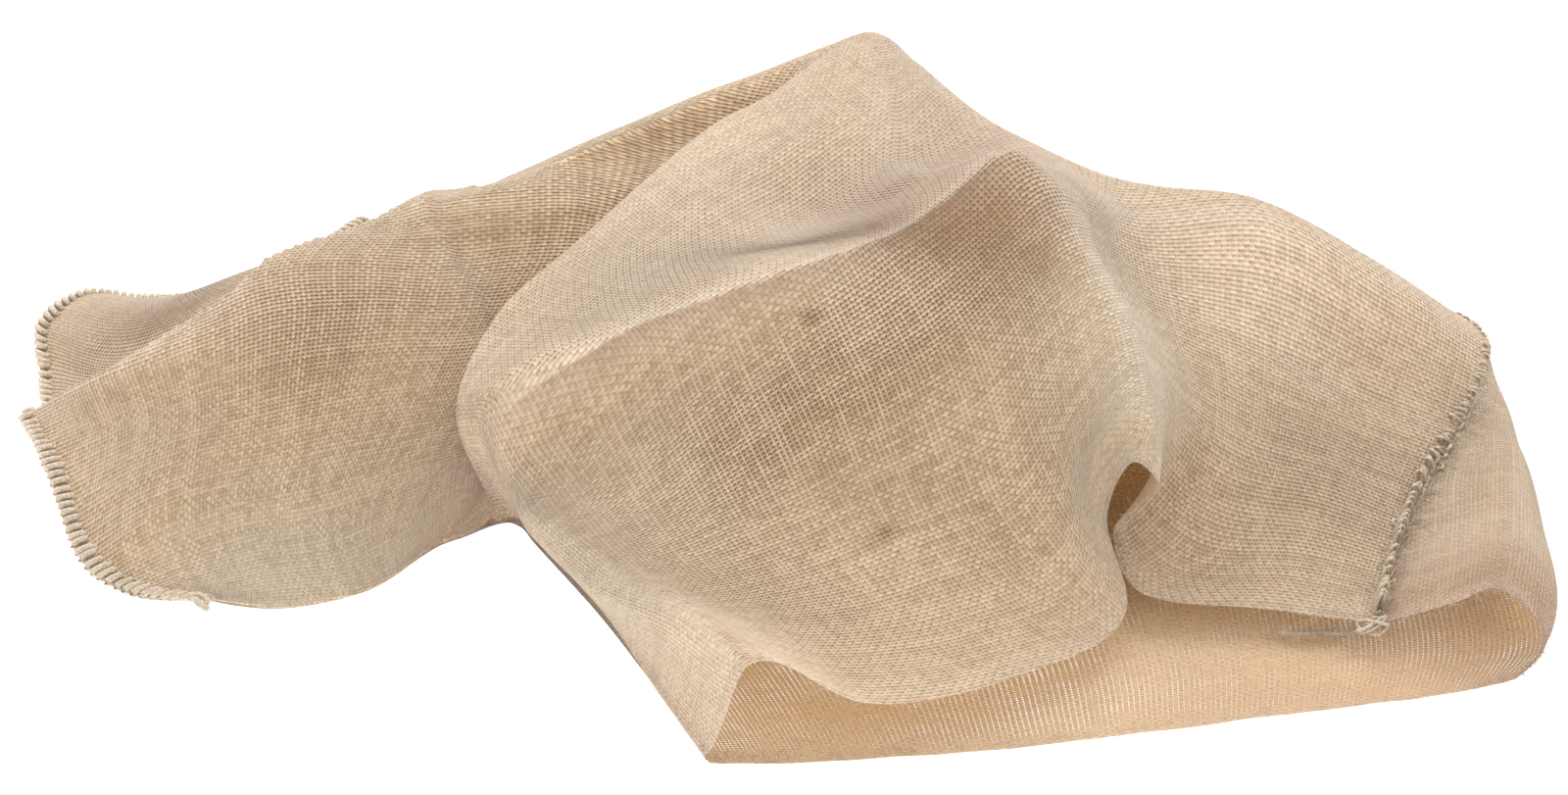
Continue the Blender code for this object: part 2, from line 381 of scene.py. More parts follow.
pull_together(over.transpose(1, 0, 2), under.transpose(1, 0, 2)[::-1], SEAM_AT, SEAM_REACH, STITCHED_GAP)
pull_together(over, under[:, ::-1], BOTTOM_AT, BOTTOM_REACH, STITCHED_GAP)
outward = over[:, -1] - over[:, -4]
outward[:, 2] = 0
outward /= np.linalg.norm(outward, axis=1, keepdims=True)
bends = [over[:, -1] + (under[:, 0] - over[:, -1]) * share + outward * BEND_BULGE
         for share in BEND_SHARES]
sheet_grid = np.concatenate([over, np.stack(bends, 1), under], axis=1)
sheet_grid[..., 2] = np.maximum(sheet_grid[..., 2], LYING)
COLUMNS = sheet_grid.shape[1]
print("the whole sheet has", ROWS, "rows of", COLUMNS, "points")

# %% [markdown]
# ## The flat pattern
# The threads of real cloth keep their spacing however it folds, but they turn against each
# other easily. So each point of the sheet gets its place on the flat piece that was cut: round
# the sack the weft should grow by the real length of each step and the warp by nothing, and along
# the sack the other way round. No pattern meets all of that, and one least-squares solve finds the
# one that comes nearest. Blender could unwrap the sheet, but wouldn't know which way threads run.

# %% Find each point's place in the weave
STRAIGHTNESS = (0.5, 3)  # how much a thread's direction counts beside its spacing: bottom, mouth
CHANGE = (0.48, 0.62)  # the shares of the length between which that changes


def thread_places(grid):
    """Flat places in millimetres for a grid of points, x round the sack and y along it."""
    rows, columns = grid.shape[:2]
    index = np.arange(rows * columns).reshape(rows, columns)
    round_steps, along_steps = (np.linalg.norm(np.diff(grid, axis=k), axis=2).ravel() for k in (1, 0))
    across = (index[:, :-1].ravel(), index[:, 1:].ravel(), round_steps)
    along = (index[:-1].ravel(), index[1:].ravel(), along_steps)
    places = []
    changes = (rows * CHANGE[0], rows * CHANGE[1])
    straight = np.interp(np.arange(index.size) // columns, changes, STRAIGHTNESS)
    for run, still in ((across, along), (along, across)):
        matrix = np.zeros((index.size, index.size))
        goal = np.zeros(index.size)
        for (i, j, length), weight, grows in ((run, 1, 1), (still, straight[still[0]], 0)):
            weight = weight / np.maximum(length, 2) ** 2
            for a, b, sign in ((i, i, 1), (j, j, 1), (i, j, -1), (j, i, -1)):
                np.add.at(matrix, (a, b), sign * weight)
            for a, sign in ((j, 1), (i, -1)):
                np.add.at(goal, a, sign * weight * length * grows)
        matrix[0, 0] += 1
        place = np.linalg.solve(matrix, goal)
        place *= run[2].sum() / np.abs(place[run[1]] - place[run[0]]).sum()
        places.append(place - place.min())
    return np.stack(places, -1).reshape(rows, columns, 2)


def finer(grid, steps):
    """Smoothly more rows in a grid of values."""
    padded = np.concatenate([2 * grid[:1] - grid[1:2], grid, 2 * grid[-1:] - grid[-2:-1]])
    out = []
    for i in range(len(grid) - 1):
        a, b, c, d = padded[i:i + 4]
        for step in range(steps):
            t = step / steps
            out.append(0.5 * (2 * b + (c - a) * t + (2 * a - 5 * b + 4 * c - d) * t ** 2
                              + (3 * b - 3 * c + d - a) * t ** 3))
    return np.stack(out + [grid[-1]])


# %% Solve it for each layer
COARSE, COARSE_ROWS = 4, 12  # the solve uses every fourth column and every twelfth row
UNDER_APART = 40  # from the upper layer to the under one on the pattern, in mm
flats = []
for layer in (sheet_grid[:, :HALF_COLUMNS], sheet_grid[:, -HALF_COLUMNS:]):
    coarse = finer(thread_places(layer[::COARSE_ROWS, ::COARSE]), COARSE_ROWS)
    flats.append(finer(coarse.transpose(1, 0, 2), COARSE).transpose(1, 0, 2))
UNDER_FROM = flats[0][..., 0].max() + UNDER_APART
flats[1][..., 0] += UNDER_FROM
bend_steps = np.diff(sheet_grid[:, HALF_COLUMNS - 1:HALF_COLUMNS + 2], axis=1)
bend = np.linalg.norm(bend_steps, axis=2).cumsum(1)
between = [flats[0][:, -1] + np.outer(bend[:, n], (1, 0)) for n in (0, 1)]
flat = np.concatenate([flats[0], np.stack(between, 1), flats[1]], axis=1)
cut = np.ptp(flat.reshape(-1, 2), axis=0)
print("the flat pattern measures", cut.round(), "mm")

# %% [markdown]
# ## Creases
# A sack that was stored folded keeps sharp lines, and a fold that bears weight turns tightly.
# Smooth curves through a few rings can't be that sharp, so these lines are pressed in
# afterwards. Each runs through the table's rings and columns, and on each side of it the cloth
# is lifted (or lowered) most at the line and less and less away from it.

# %% The table of creases
# name: [ring and column of each point], height of the line in mm, then for its left and for its
# right the reach of that height and the depth and reach of the dip beyond it, and last how much
# painted shade lies on the line's left and right (below zero, painted light)
CREASES = {
    "quarter_fold": ([(2.95, 2.0), (3.0, 3.9), (3.05, 6.5), (3.1, 9.6)],
                     3.2, (4, 4, 14), (18, 0, 1), (0.3, 0)),
    "half_fold": ([(7.3, 3.2), (7.5, 3.33), (8.35, 3.83), (9.6, 5.5)],
                  3.6, (5, 5, 18), (18, 0, 1), (0.15, 0)),
    "front_ridge": ([(10.0, 4.3), (10.05, 6.0), (10.15, 6.83), (10.17, 7.33), (10.13, 8.1), (10.08, 8.67),
                     (10.1, 9.25), (10.2, 9.67), (10.3, 10.2)],
                    10, (17, 2, 50), (14, 0, 1), (0.3, -0.25)),
    "finger": ([(10.1, 4.0), (10.4, 4.17), (11.25, 4.5), (12.45, 4.92), (13.4, 4.85)],
               4, (7, 3, 20), (26, 0, 1), (0, 0)),
    "lobe_crest": ([(3.0, 3.7), (2.1, 5.5), (1.85, 6.17), (1.05, 6.92), (-1.5, 6.95)],
                   6, (26, 0, 1), (6, 30, 42), (-0.1, 0.25)),
    "front_edge": ([(11.0, 10.1), (11.88, 9.67), (12.54, 9.75), (13.46, 10.0), (14.3, 10.2)],
                   7, (7, 4, 28), (18, 0, 1), (0.2, -0.12)),
    "shoulder": ([(10.2, 3.9), (10.2, 2.67), (10.3, 1.9)],
                 1.6, (14, 0, 1), (14, 0, 1), (0, 0)),
}
CREST_RUB_AND_HIGHLIGHT, RUB_REACH = 0.35, 9  # how pale the crease line itself is, from rubbed hair and a painted highlight, and how far from it, in mm
SHADE_REACH = 5  # how far the darker line reaches, in mm
CREASE_FADE = 0.12  # share of a crease's length over which it starts and ends


# %% Find where a crease is
def at_place(grid, row, column):
    """A value of the fine grid at a ring and column of the table."""
    i, j = row * FINE_ROWS, column * FINE
    k, m = min(max(int(i), 0), len(grid) - 2), int(j)
    a = grid[k, m] + (grid[k + 1, m] - grid[k, m]) * (i - k)
    b = grid[k, m + 1] + (grid[k + 1, m + 1] - grid[k, m + 1]) * (i - k)
    return a + (b - a) * (j - m)


def profile(away, height, reach, dip, dip_reach):
    """Height of a crease at a distance from its line."""
    return (height + dip) * np.exp(-away / reach) - dip * np.exp(-away / dip_reach)


def beside_line(flat, line):
    """Each point's distance from a line and side of it, and a share that is 0 at the line's ends."""
    line = np.array([at_place(flat, row, column) for row, column in line])
    nearest = np.full(flat.shape[:2], 1e9)
    side = np.zeros(flat.shape[:2])
    along = np.zeros(flat.shape[:2])
    lengths = np.linalg.norm(np.diff(line, axis=0), axis=1)
    start = reach_of(line)
    for a, b, first, length in zip(line, line[1:], start, lengths):
        run = (b - a) / length
        out = flat - a
        share = np.clip(out @ run, 0, length)
        away = np.linalg.norm(out - share[..., None] * run, axis=-1)
        closer = away < nearest
        nearest = np.where(closer, away, nearest)
        side = np.where(closer, run[0] * out[..., 1] - run[1] * out[..., 0], side)
        along = np.where(closer, (first + share) / start[-1], along)
    fade = np.clip(np.minimum(along, 1 - along) / CREASE_FADE, 0, 1)
    fade = fade * fade * (3 - 2 * fade)
    fade[:, HALF_COLUMNS:] = 0
    return nearest, side > 0, fade


# %% Press the creases in
def facing_out(grid):
    """The outward direction at each point of the sheet."""
    facing = np.cross(np.gradient(grid, axis=1), np.gradient(grid, axis=0))
    facing /= np.linalg.norm(facing, axis=2, keepdims=True) + 1e-9
    return -facing if facing[ROWS // 2, HALF_COLUMNS // 2, 2] < 0 else facing


facing = facing_out(sheet_grid)
# Painted shade for the cloth's colour, below zero painted light, and how pale it is from rubbed hair and
# painted sheen.
painted_shade = np.zeros(flat.shape[:2])
rubbed_and_sheen = np.zeros(flat.shape[:2])
NEAR_BOTTOM = 16  # rows where the under layer follows the upper one
follow = np.linspace(1, 0, NEAR_BOTTOM) ** 2
for name, (line, height, left, right, shades) in CREASES.items():
    away, on_left, fade = beside_line(flat, line)
    lift = fade * np.where(on_left, profile(away, height, *left), profile(away, height, *right))
    # Painted shade along one side of the crease and, below zero, painted light; the crease line itself is
    # paler with rubbed hair and a painted highlight.
    painted_shade += fade * np.where(on_left, *shades) * np.exp(-(away / SHADE_REACH) ** 2)
    rubbed_and_sheen += fade * CREST_RUB_AND_HIGHLIGHT * np.exp(-(away / RUB_REACH) ** 2)
    push = facing * lift[..., None]
    push[:NEAR_BOTTOM, -HALF_COLUMNS:] = push[:NEAR_BOTTOM, :HALF_COLUMNS][:, ::-1] * follow[:, None, None]
    sheet_grid = sheet_grid + push
    print(name, "lifts the cloth by", lift.max().round(1), "and lowers it by", -lift.min().round(1), "mm")

# %% [markdown]
# ## Waves and ripples
# A selvedge is held by its last thread, so it runs in small waves, and cloth that has lain in a
# heap isn't smooth between its folds either. Both are soft noise: it moves the mouth's edge in
# and out, and lifts the cloth where it doesn't lie flat on the surface.

# %% Add the waves and ripples
WAVY_ROWS = 24  # rows at the mouth that follow its waves
MOUTH_WAVES = ((1 / 60, 3.2), (1 / 17, 0.9))  # (waves per mm, height in mm) of the mouth's edge
RIPPLES = ((1 / 85, 1.6), (1 / 34, 0.5))  # the same for the ripples
FLAT_UNTIL, RIPPLED_FROM = 8, 28  # heights between which the ripples start, in mm

waves = np.array([sum(height * noise.noise(Vector((x * often, 3.7, 0.2))) for often, height in MOUTH_WAVES)
                  for x in flat[-1, :, 0]])
for k in range(WAVY_ROWS):
    sheet_grid[-1 - k, :, 1] += (1 - k / WAVY_ROWS) ** 2 * waves
facing = facing_out(sheet_grid)
lift = np.array([[sum(height * noise.noise(Vector(point) * often) for often, height in RIPPLES)
                  for point in row] for row in sheet_grid])
lift *= np.clip((sheet_grid[..., 2] - FLAT_UNTIL) / (RIPPLED_FROM - FLAT_UNTIL), 0, 1)
sheet_grid = sheet_grid + facing * lift[..., None]
sheet_grid[..., 2] = np.maximum(sheet_grid[..., 2], LYING)
print("the mouth waves by", np.ptp(waves).round(1), "mm and the ripples rise by", lift.max().round(1), "mm")

# %% [markdown]
# ## Worn places, with painted shade and light
# A used sack isn't the same all over. Where it was full the weave has opened, and the gaps between
# its threads are painted a darker shade. Where it was rubbed a pale hair stands up, and the same paler
# colour paints the sheen of grazing slopes and crests. Other spots and the creases paint shade in folds
# and recesses, or light where the cloth should be brighter. Each place is a soft spot on the flat
# pattern, and their sum is kept as a colour at the sheet's points, where the weave's material can read it.

# %% The table of worn places
# name: ring and column of the middle, how far it reaches round and along the sack in mm, how much
# looser the weave is (its gaps get painted shade), how much painted shade the threads get (below
# zero, painted light), and how much they are rubbed, which also paints sheen
PLACES = {
    "below_ridge": (10.75, 7.2, 170, 46, 0.7, 0, 0),
    "ridge_top": (10.45, 6.0, 70, 54, 0.7, 0.44, 0),
    "front_face": (11.4, 7.6, 210, 110, 0.4, -0.07, 0),
    "beside_ridge": (9.4, 5.85, 48, 32, 0.2, 0.4, 0.3),
    "peak": (9.1, 3.6, 40, 54, 0, 0.3, 0.3),
    "finger": (11.8, 4.9, 40, 120, -0.3, -0.42, 0.4),
    "belly": (9.0, 7.5, 150, 60, -0.2, 0, 0.5),
    "front_shoulder": (10.6, 2.6, 70, 60, -0.2, 0, 0.3),
    "behind_lobe": (0.8, 4.9, 70, 60, 0.6, 0.22, 0),
    "lobe_back": (2.3, 6.6, 60, 60, 0.5, 0.18, 0),
    "right_shoulder": (12.0, 0.9, 60, 60, 0, 0.12, 0),
    "right_end": (12.5, 1.0, 40, 60, 0, 0.06, 0),
    "seam_top": (10.5, 0.6, 50, 60, 0, 0.1, 0),
    "mouth_floor": (13.7, 16.5, 260, 70, 0, 0.5, 0),
    "lobe_bottom": (1.2, 10.6, 50, 90, 0, -0.5, 0.5),
    "front_corner": (12.4, 10.4, 60, 120, 0, -0.24, 0.2),
    "side_wall": (13.0, 21.2, 50, 60, -0.2, -0.2, 0.3),
    "inner_corner": (14.0, 19.2, 60, 45, 0.8, 0.3, 0),
    "upper_flaw": (10.54, 7.83, 5, 4, 1.0, 0.45, 0),
    "lower_flaw": (12.12, 8.0, 6, 4, 1.0, 0.5, 0),
}
SPOT_EDGE = 1.2  # how steeply a place fades out
PATCHY, PATCH = 0.6, 60  # how much looseness varies by itself, and over how many mm
HEM = 8  # width of the selvedge at the mouth, in mm
HEM_SNUG, HEM_RUB = 0.8, 0.5  # how much tighter and hairier it is


# %% Spread the wear, painted shade and painted light over the sheet
looser_and_gap_shade = np.array([[PATCHY * noise.noise(Vector((x / PATCH, y / PATCH, 12.5))) for x, y in row]
                   for row in flat])
# Each place opens the weave, whose gaps get painted shade, adds painted shade or, below zero, painted light,
# and adds the paler colour of rubbed hair with painted sheen.
for ring_place, column_place, round_reach, along_reach, loose_and_gap_shade, dark, rub_and_sheen in PLACES.values():
    away = (flat - at_place(flat, ring_place, column_place)) / (round_reach, along_reach)
    near = np.exp(-SPOT_EDGE * (away ** 2).sum(-1))
    looser_and_gap_shade += loose_and_gap_shade * near
    painted_shade += dark * near
    rubbed_and_sheen += rub_and_sheen * near
steps_back = np.linalg.norm(np.diff(sheet_grid[::-1], axis=0, prepend=sheet_grid[-1:]), axis=2)
hem = np.exp(-(steps_back.cumsum(0)[::-1] / HEM) ** 2)
looser_and_gap_shade = np.clip(looser_and_gap_shade, -1, 1) * (1 - hem) - HEM_SNUG * hem
rubbed_and_sheen = np.clip(rubbed_and_sheen + HEM_RUB * hem, 0, 1)
print("the weave is up to", looser_and_gap_shade.max().round(2), "looser and", painted_shade.max().round(2), "painted_shade")

# %% [markdown]
# ## The sheet
# The cloth is one skin. Its flat pattern, in which threads wander a little off their straight
# lines, is its UV map, so that the weave can be drawn over any fold.

# %% Build the sheet
SWAY = 1.3  # how far threads wander off their straight lines, in mm
SWAYS = ((70, 0, 1), (22, 9, 0.12))  # over how many mm, a place in the noise, and its share


def quads_of(rows, columns):
    """The faces of a grid of points that is listed row by row."""
    index = np.arange(rows * columns).reshape(rows, columns)
    corners = np.stack([index[:-1, :-1], index[1:, :-1], index[1:, 1:], index[:-1, 1:]], -1)
    return corners.reshape(-1, 4).tolist()


def grid_mesh(name, grid, pattern):
    """A mesh of quads for a grid of points, with the flat pattern as its UV map, in metres."""
    mesh = bpy.data.meshes.new(name)
    mesh.from_pydata((grid.reshape(-1, 3) * MM).tolist(), [], quads_of(*grid.shape[:2]))
    places = pattern.reshape(-1, 2) * MM
    layer = mesh.uv_layers.new(name="flat")
    loops = np.empty(len(mesh.loops), dtype=np.int32)
    mesh.loops.foreach_get("vertex_index", loops)
    layer.data.foreach_set("uv", places[loops].astype(np.float32).ravel())
    mesh.polygons.foreach_set("use_smooth", [True] * len(mesh.polygons))
    return mesh


def paint_points(mesh, name, colours):
    """Stores a colour for each point of a mesh."""
    layer = mesh.color_attributes.new(name, "FLOAT_COLOR", "POINT")
    layer.data.foreach_set("color", colours.astype(np.float32).ravel())


def add_piece(name, mesh, slot, *replaced):
    """A piece that lies still with the sack's one body."""
    piece = add_object(name, mesh)
    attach(piece, "root")
    if replaced:
        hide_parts(*replaced)
    return piece


def wander(x, y, place):
    """How far a thread is off its straight line, as a share of SWAY."""
    return sum(share * noise.noise(Vector((x / reach, y / reach, place + at))) for reach, at, share in SWAYS)


sway = np.array([[[wander(x, y, place) for place in (0.5, 5.5)] for x, y in row] for row in flat]) * SWAY
sheet_mesh = grid_mesh("jute_sheet", sheet_grid, flat + sway)
# The sheet's colour map: looseness of the weave with painted gap shade, painted shade and light, and rubbed
# hair with painted sheen.
wear_and_painted_light = np.stack([looser_and_gap_shade, painted_shade, rubbed_and_sheen, np.ones_like(looser_and_gap_shade)], -1) * 0.5 + 0.5
paint_points(sheet_mesh, "wear_and_painted_light", wear_and_painted_light)
cloth = add_piece("jute_sheet", sheet_mesh, "jute_cloth", "sack_cloth")
print("the sheet has", len(cloth.data.polygons), "faces")

# %% [markdown]
# ## Floor and light
# The sack was photographed on a bright white surface that shows no shadow, so the floor glows a
# little of its own. Under the sack a real surface would be shaded, and light from there would
# shine through every hole, so a map of what the sack covers, a colour for each point of the floor,
# takes the glow away there. It stays at the mouth, where white shines up through the under layer.

# %% Map what the sack covers
CELL = 0.0125  # size of a cell of the map, in metres
MAP_REACH = (0.45, 0.35)  # how far the map goes from the middle, in x and y
COVERED_FROM = 0.88  # how much has to be covered round a point before its glow fades
MOUTH_LIGHT = (-0.19, -0.11)  # the glow ends between these two, going in from the mouth
lines_x, lines_y = (np.arange(-reach, reach + 0.0001, CELL) for reach in MAP_REACH)
seen_from_above = (sheet_grid[:, HALF_COLUMNS:, :2].reshape(-1, 2) * MM).T
cells = [np.append(lines, lines[-1] + CELL) - CELL / 2 for lines in (lines_x, lines_y)]
covered = (np.histogram2d(*seen_from_above, bins=cells)[0] > 0).astype(float)
for _ in range(3):
    covered = sum(np.roll(covered, (i, j), (0, 1)) for i in (-1, 0, 1) for j in (-1, 0, 1)) / 9
inward = np.clip((lines_y - MOUTH_LIGHT[0]) / (MOUTH_LIGHT[1] - MOUTH_LIGHT[0]), 0, 1)
glow = 1 - np.clip((covered - COVERED_FROM) / (1 - COVERED_FROM), 0, 1) * inward
print("the sack shades", round((1 - glow).sum() * CELL ** 2, 3), "square metres of the floor")

# %% Floor
FLOOR_EDGE = 4.5  # how far the surface goes from the middle, in metres
FLOOR_GLOW = 1.06
lines_x, lines_y = (np.concatenate([[-FLOOR_EDGE], lines, [FLOOR_EDGE]]) for lines in (lines_x, lines_y))
glow = np.pad(glow, 1, constant_values=1)
floor_mesh = bpy.data.meshes.new("floor")
floor_mesh.from_pydata([(x, y, 0) for x in lines_x for y in lines_y], [], quads_of(*glow.shape))
paint_points(floor_mesh, "glow", np.repeat(glow.ravel(), 4))
floor = add_object("floor", floor_mesh)
white = Nodes("white_surface")
shining = white.add("ShaderNodeVertexColor", {"layer_name": "glow"}, {})
white.feed(white.shader, {"Base Color": (0.9, 0.9, 0.9, 1), "Roughness": 0.9, "Specular IOR Level": 0.1,
                          "Emission Color": shining, "Emission Strength": FLOOR_GLOW})
floor_mesh.materials.append(white.material)
print("the floor has", len(floor_mesh.polygons), "faces")

# %% Light
world = bpy.data.worlds.new("room")
world.use_nodes = True
background = world.node_tree.nodes["Background"]
background.inputs["Color"].default_value = (1, 0.99, 0.98, 1)
background.inputs["Strength"].default_value = 0.88
bpy.context.scene.world = world
bpy.context.scene.view_settings.view_transform = "Standard"
bpy.context.scene.view_settings.look = "None"


def lamp_box(name, place, size, power):
    """A big soft lamp that points at the sack."""
    data = bpy.data.lights.new(name, "AREA")
    data.shape = "DISK"
    data.size = size
    data.energy = power
    made = add_object(name, data)
    made.location = place
    made.rotation_euler = (Vector((0, 0, 0.05)) - Vector(place)).to_track_quat("-Z", "Y").to_euler()


lamp_box("back_lamp", place=(-0.7, 1.7, 2.1), size=1.6, power=75)
lamp_box("top_lamp", place=(0.5, 0.2, 2.6), size=1.8, power=26)
print("there are", len(bpy.data.lights), "lamps in a pale room")

# %% [markdown]
# ## The weave
# Plain weave: each thread goes over one and under the next. The warp runs along the sack and the
# weft round it. Jute threads are uneven, so each has its own width and shade, and swells and thins
# along its length, which leaves the pale streaks and the open holes that are seen all over.

# %% Numbers for the weave
WARP_PITCH = 2.3  # from one thread to the next, in mm
WEFT_PITCH = 2.4
# Slubs per mm, then what a slub and what the thread itself adds to its half width, in pitches,
# and what each of them adds to how pale it is.
WARP_SLUBS = (0.07, 0.18, 0.07, 0.7, 0.3)
WEFT_SLUBS = (0.055, 0.22, 0.08, 0.7, 0.4)
THINNEST = 0.07  # the least half width, in pitches
SNUG, LOOSENED = 0.18, 0.12  # what is added to it, and what of that the loosest places lose
GRAIN = (0.8, 6)  # grains per mm, along a thread and across it
SPECKLE = 0.4  # how much the crossings differ in shade
STRAW = (0.575, 0.41, 0.235)
PALE = (0.86, 0.66, 0.43)
# The painted shade between the threads, where the dark inside of the sack would show.
HOLE_SHADE_BROWN = (0.2, 0.125, 0.06)
# The paler colour of rubbed hair, which also paints the sheen of grazing slopes and crests.
RUBBED_AND_SHEEN = (0.69, 0.58, 0.485)
GAP_SHADE = 0.5  # how dark it is between the threads in a plain place
DIMMED = (0.8, 1.1, 1.35)  # how fast red, green and blue are lost where shade is painted on the cloth
GLOW = (0.86, 0.58, 0.31)  # the colour of light that comes through the threads
SHINE_THROUGH = 0.24  # the share of the light that does
HAIR_AND_SHADE_REACH = (1.7, 1.0)  # how far a thread and its hair cover, in half widths: elsewhere, at the mouth; past the thread, the cover carries the painted gap shade
MOUTH_HOLES = (230, 130)  # mm from the mouth to where holes start and to where they are open
print("there are", round(cut[0] / WARP_PITCH), "warp threads and", round(cut[1] / WEFT_PITCH), "weft threads")


# %% The jute cloth's material
def jute_cloth():
    jute = Nodes("jute_cloth")
    pattern = jute.add("ShaderNodeUVMap", {"uv_map": "flat"}, {})
    x = jute.add("ShaderNodeSeparateXYZ", {}, {"Vector": pattern}) * 1000
    y = jute.add("ShaderNodeSeparateXYZ", {}, {"Vector": pattern}, output=1) * 1000
    warp, weft = x / WARP_PITCH, y / WEFT_PITCH
    warp_index, weft_index = warp.floor(), weft.floor()
    warp_chance, weft_chance = jute.chance(warp_index), jute.chance(weft_index + 0.37)
    warp_slub = jute.noise(warp_index * 7.31, y, WARP_SLUBS[0], 1.0)
    weft_slub = jute.noise(weft_index * 5.17, x, WEFT_SLUBS[0], 1.0)
    # The map's channels: looseness, whose gaps get painted shade; painted shade, below zero painted light;
    # and rubbed hair, which also paints sheen.
    wear_and_painted_light = jute.add("ShaderNodeVertexColor", {"layer_name": "wear_and_painted_light"}, {})
    looser_and_gap_shade = jute.add("ShaderNodeSeparateColor", {}, {"Color": wear_and_painted_light}) * 2 - 1
    painted_shade = jute.add("ShaderNodeSeparateColor", {}, {"Color": wear_and_painted_light}, output=1) * 2 - 1
    rubbed_and_sheen = jute.add("ShaderNodeSeparateColor", {}, {"Color": wear_and_painted_light}, output=2) * 2 - 1
    snug = SNUG - looser_and_gap_shade * LOOSENED
    warp_half = warp_slub * WARP_SLUBS[1] + warp_chance * WARP_SLUBS[2] + snug + THINNEST
    weft_half = weft_slub * WEFT_SLUBS[1] + weft_chance * WEFT_SLUBS[2] + snug + THINNEST
    across_warp = warp.fraction() - 0.5
    across_weft = weft.fraction() - 0.5
    warp_share = (across_warp / warp_half).size()
    weft_share = (across_weft / weft_half).size()
    parity = ((warp_index + weft_index) * 0.5).fraction() * 4 - 1
    over = ((across_weft * math.pi).cosine() + (across_warp * math.pi).cosine()) * parity * 0.5
    warp_on_top = (over + weft_share - warp_share) > 0
    edge = weft_share.toward(warp_share, warp_on_top)
    grain_x = (x * GRAIN[0]).toward(x * GRAIN[1], warp_on_top)
    grain_y = (y * GRAIN[1]).toward(y * GRAIN[0], warp_on_top)
    hair = jute.noise(grain_x, grain_y, 1.0, 1.0)
    speckle = jute.chance(warp_index * 0.731 + weft_index * 17.3)
    weft_shade = weft_slub * WEFT_SLUBS[3] + weft_chance * WEFT_SLUBS[4]
    warp_shade = warp_slub * WARP_SLUBS[3] + warp_chance * WARP_SLUBS[4]
    shade = speckle * SPECKLE - SPECKLE / 2 + weft_shade.toward(warp_shade, warp_on_top)
    tone = jute.blend(jute.ramp(shade + hair * 0.3, 0.3, 1.0), STRAW, PALE)
    # Between the threads the colour goes toward a painted brown shade, stronger where the weave is looser.
    gapped = jute.blend(jute.ramp(edge, 0.45, 1.05) * (looser_and_gap_shade * 0.5 + GAP_SHADE), tone, HOLE_SHADE_BROWN)
    # Painted shade and painted light from the map, browner as the shade deepens.
    dimmed = jute.add("ShaderNodeVectorMath", {"operation": "SCALE"}, {0: DIMMED, "Scale": painted_shade})
    kept = jute.add("ShaderNodeVectorMath", {"operation": "SUBTRACT"}, {0: (1, 1, 1), 1: dimmed})
    shaded = jute.add("ShaderNodeVectorMath", {"operation": "MULTIPLY"}, {0: gapped, 1: kept})
    # The paler rubbed colour, which also paints sheen on grazing slopes and crests.
    coloured = jute.blend(rubbed_and_sheen * 0.6, shaded, RUBBED_AND_SHEEN)
    rise = (across_warp * (2 * math.pi)).cosine() + (across_weft * (2 * math.pi)).cosine()
    bump = jute.add("ShaderNodeBump", {}, {"Strength": 1.0, "Distance": 0.0004, "Height": rise + over})
    jute.feed(jute.shader, {
        "Base Color": coloured, "Normal": bump, "Roughness": 0.95, "Specular IOR Level": 0.1,
        "Sheen Weight": 0.9, "Sheen Roughness": 0.5, "Sheen Tint": (1, 0.96, 0.92, 1)})
    reflected = Wire(jute, jute.shader.outputs[0])
    through = jute.add("ShaderNodeBsdfTranslucent", {}, {"Color": (*GLOW, 1)})
    solid = jute.add("ShaderNodeMixShader", {}, {0: SHINE_THROUGH, 1: reflected, 2: through})
    open_air = jute.add("ShaderNodeBsdfTransparent", {}, {})
    near_mouth = (x > UNDER_FROM) * jute.ramp(y, *(cut[1] - far for far in MOUTH_HOLES))
    reach = HAIR_AND_SHADE_REACH[0] + near_mouth * (HAIR_AND_SHADE_REACH[1] - HAIR_AND_SHADE_REACH[0])
    covered = (warp_share < reach).higher(weft_share < reach)
    final = jute.add("ShaderNodeMixShader", {}, {0: covered, 1: open_air, 2: solid})
    jute.feed(jute.tree.nodes["Material Output"], {"Surface": final})
    return jute.material


cloth.data.materials.append(jute_cloth())
print("the jute cloth's material has", len(cloth.data.materials[0].node_tree.nodes), "nodes")

# %% The sheet is one piece
print("the sheet is one piece of cloth")

# %% [markdown]
# ## The seams
# Both seams are overcast: a yarn spirals round the two raw edges. It is drawn as that spiral, each
# turn a little different from the next. The bottom seam is neat and ends in a small loop. The side
# seam has had hard use: its wraps are loose, and near the mouth they widen to a ragged band with
# loops and a fringe, which ends in a tangle and a frayed tail.

# %% Make yarn from lines
def unit(directions):
    """The same directions, each of length 1."""
    return directions / (np.linalg.norm(directions, axis=1, keepdims=True) + 1e-9)


def tube_mesh(name, lines, radius, sides):
    """A mesh with a round, closed tube along each line of points, in millimetres."""
    points, faces = [], []
    for line in lines:
        line = np.asarray(line, float)
        ahead = unit(np.gradient(line, axis=0))
        left = unit(np.cross(ahead, (0.31, 0.17, 0.93)))
        top = np.cross(left, ahead)
        count = len(line)
        starts = [len(points) + k * count for k in range(sides)]
        for k in range(sides):
            angle = 2 * math.pi * k / sides
            side = math.cos(angle) * left + math.sin(angle) * top
            points += ((line + radius * side) * MM).tolist()
        for a, b in zip(starts, starts[1:] + starts[:1]):
            faces += [(a + i, a + i + 1, b + i + 1, b + i) for i in range(count - 1)]
        faces.append(starts)
        faces.append([start + count - 1 for start in reversed(starts)])
    mesh = bpy.data.meshes.new(name)
    mesh.from_pydata(points, [], faces)
    mesh.polygons.foreach_set("use_smooth", [True] * len(mesh.polygons))
    return mesh


